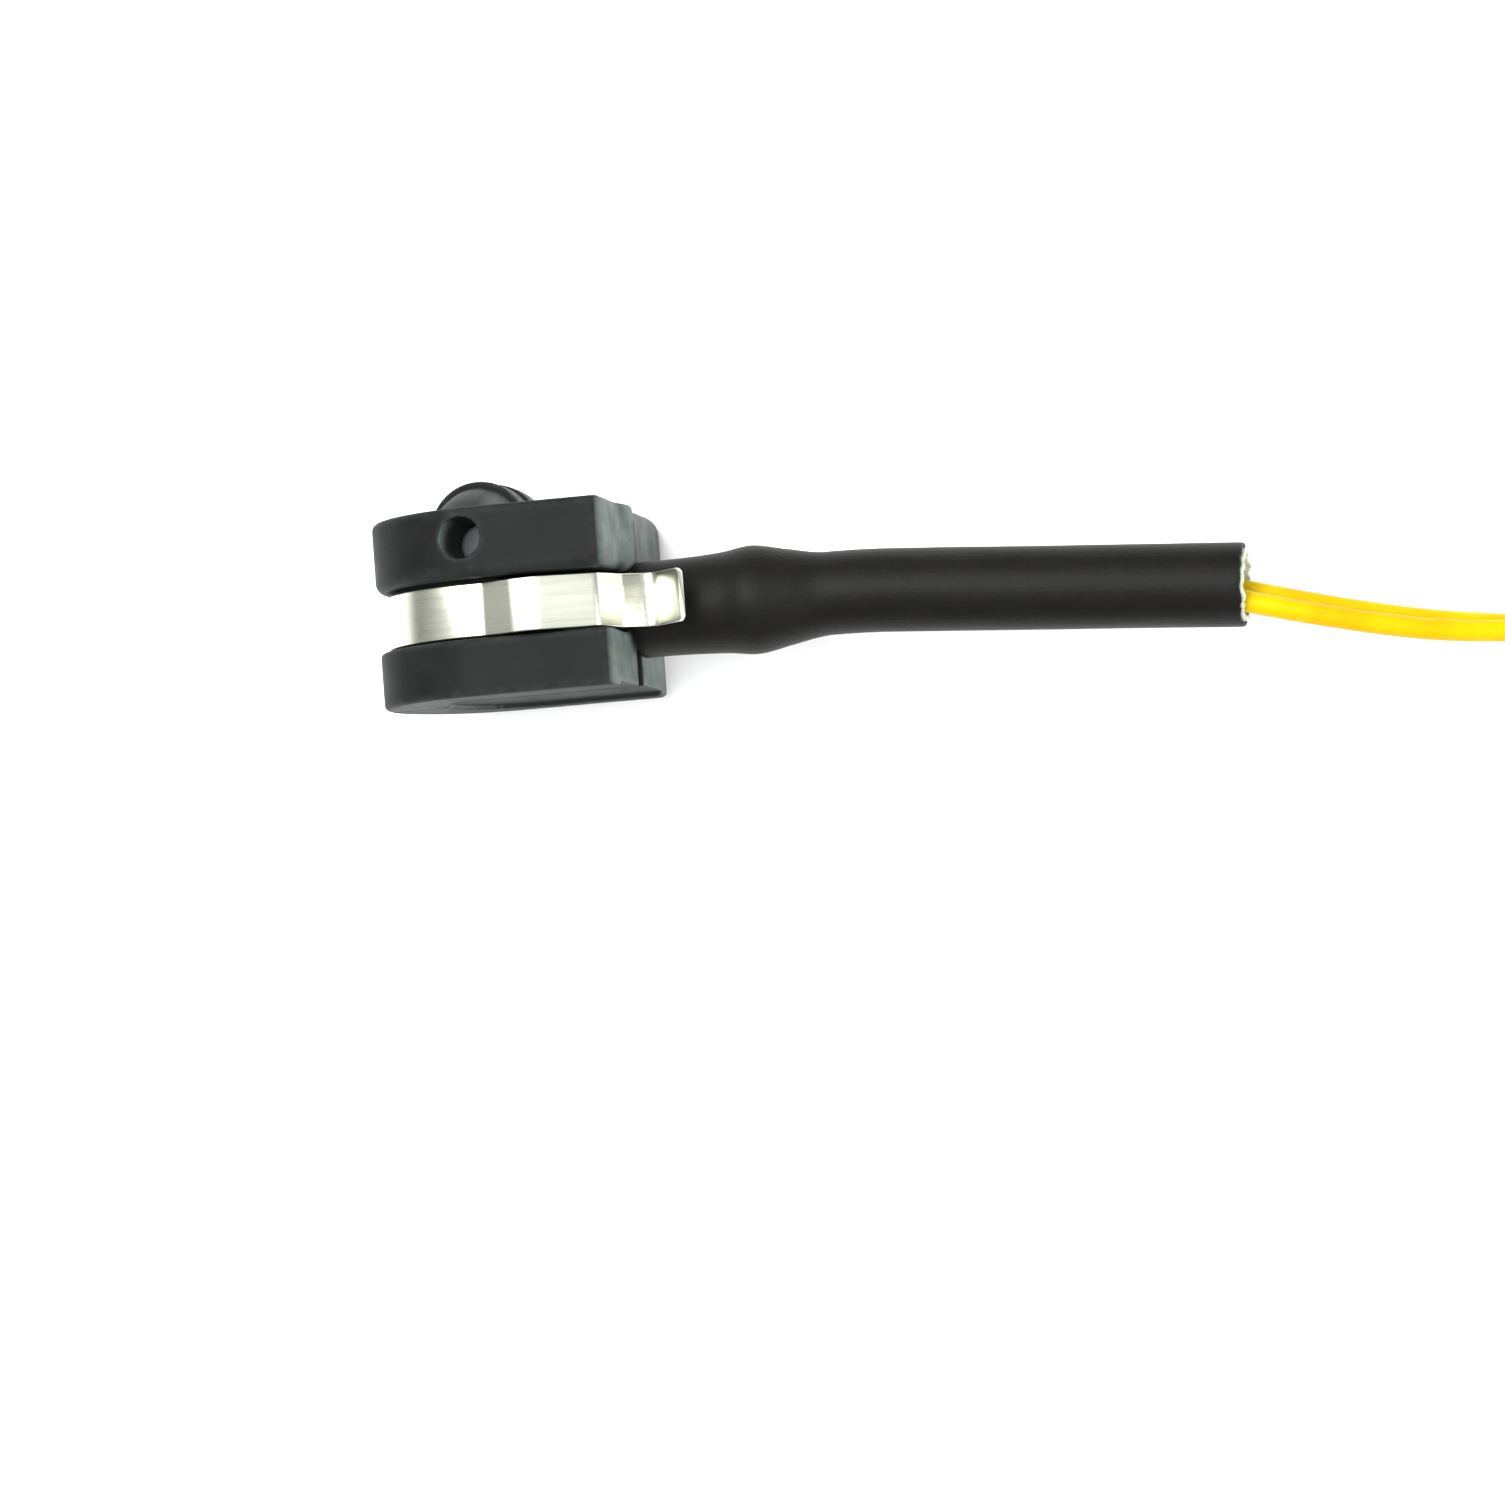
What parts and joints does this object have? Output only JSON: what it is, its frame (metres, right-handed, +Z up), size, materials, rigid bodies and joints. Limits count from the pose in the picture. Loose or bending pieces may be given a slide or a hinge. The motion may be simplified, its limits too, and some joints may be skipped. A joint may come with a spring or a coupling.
{
  "type": "brake pad wear sensor",
  "caption": "Clip-in brake-pad wear sensor: a moulded spool-shaped head with a spring clip, a sleeved neck, twin leads and a small sealed connector.",
  "frame": {"origin": "under the middle of the head and sleeve, on the surface that the flat side of the head stands on", "axes": "+X runs from the head along the lead, +Y is the direction of wear through the contact flange, +Z is up across the head's width"},
  "size_m": [0.2103, 0.0204, 0.022],
  "materials": {
    "head_plastic": "matte moulded thermoset, dark grey-black",
    "spring_steel": "bright rolled stainless spring strip",
    "copper": "bare copper wire",
    "grey_insulator": "light grey insulating core",
    "tinned_brass": "tin-plated brass",
    "sleeve_coating": "satin black coated sleeving",
    "glass_braid": "pale glass-fibre braid",
    "yellow_insulation": "glossy yellow wire insulation",
    "plug_plastic": "satin black glass-filled nylon",
    "retainer_plastic": "satin dark grey nylon",
    "lock_plastic": "light grey nylon",
    "seal_rubber": "soft blue silicone",
    "neck_rubber": "soft black rubber"
  },
  "bodies": {
    "sensor": {"body_half_far": "head_plastic", "body_half_near": "head_plastic", "clip_bow": "spring_steel", "connector_housing": "plug_plastic", "connector_retainer": "retainer_plastic", "contact_insulator": "grey_insulator", "contact_loop": "copper", "crimp_ferrule_a": "tinned_brass", "crimp_ferrule_b": "tinned_brass", "inner_liner": "glass_braid", "interface_seal": "seal_rubber", "lead_a_conductor": "copper", "lead_a_free": "yellow_insulation", "lead_a_inner": "yellow_insulation", "lead_a_tail": "yellow_insulation", "lead_b_conductor": "copper", "lead_b_free": "yellow_insulation", "lead_b_inner": "yellow_insulation", "lead_b_tail": "yellow_insulation", "neck_seal": "neck_rubber", "outer_sleeve": "sleeve_coating", "terminal_a": "tinned_brass", "terminal_b": "tinned_brass", "wire_seal_a": "seal_rubber", "wire_seal_b": "seal_rubber"},
    "clip_far_front": {"clip_far_front": "spring_steel"},
    "clip_far_rear": {"clip_far_rear": "spring_steel"},
    "clip_near_front": {"clip_near_front": "spring_steel"},
    "clip_near_rear": {"clip_near_rear": "spring_steel"},
    "latch_lever": {"latch_lever": "plug_plastic"},
    "secondary_lock": {"secondary_lock": "lock_plastic"}
  },
  "joints": [
    {"name": "near_leg_squeeze", "type": "hinge", "parent": "sensor", "child": "clip_near_rear", "pos_m": [-0.02527, -0.00195, 0.02], "axis": [0, 1, 0], "range_deg": [0, 13], "stiffness_Nm_per_rad": 0.05},
    {"name": "near_leg_knee", "type": "hinge", "parent": "clip_near_rear", "child": "clip_near_front", "pos_m": [-0.02092, -0.00195, 0.0215], "axis": [0, 1, 0], "range_deg": [-20, 0]},
    {"name": "far_leg_squeeze", "type": "hinge", "parent": "sensor", "child": "clip_far_rear", "pos_m": [-0.02527, -0.00195, 0.002], "axis": [0, -1, 0], "range_deg": [0, 13], "stiffness_Nm_per_rad": 0.05},
    {"name": "far_leg_knee", "type": "hinge", "parent": "clip_far_rear", "child": "clip_far_front", "pos_m": [-0.02092, -0.00195, 0.0005], "axis": [0, -1, 0], "range_deg": [-20, 0]},
    {"name": "latch_press", "type": "hinge", "parent": "sensor", "child": "latch_lever", "pos_m": [0.161, -0.0032, 0.0136], "axis": [0, -1, 0], "range_deg": [0, 5], "stiffness_Nm_per_rad": 0.02},
    {"name": "secondary_lock_slide", "type": "slide", "parent": "sensor", "child": "secondary_lock", "axis": [0, 1, 0], "range_m": [0, 0.0015]}
  ],
  "couplings": [
    {"joint": "near_leg_knee", "follows": "near_leg_squeeze", "ratio": -1.48},
    {"joint": "far_leg_knee", "follows": "far_leg_squeeze", "ratio": -1.48}
  ]
}
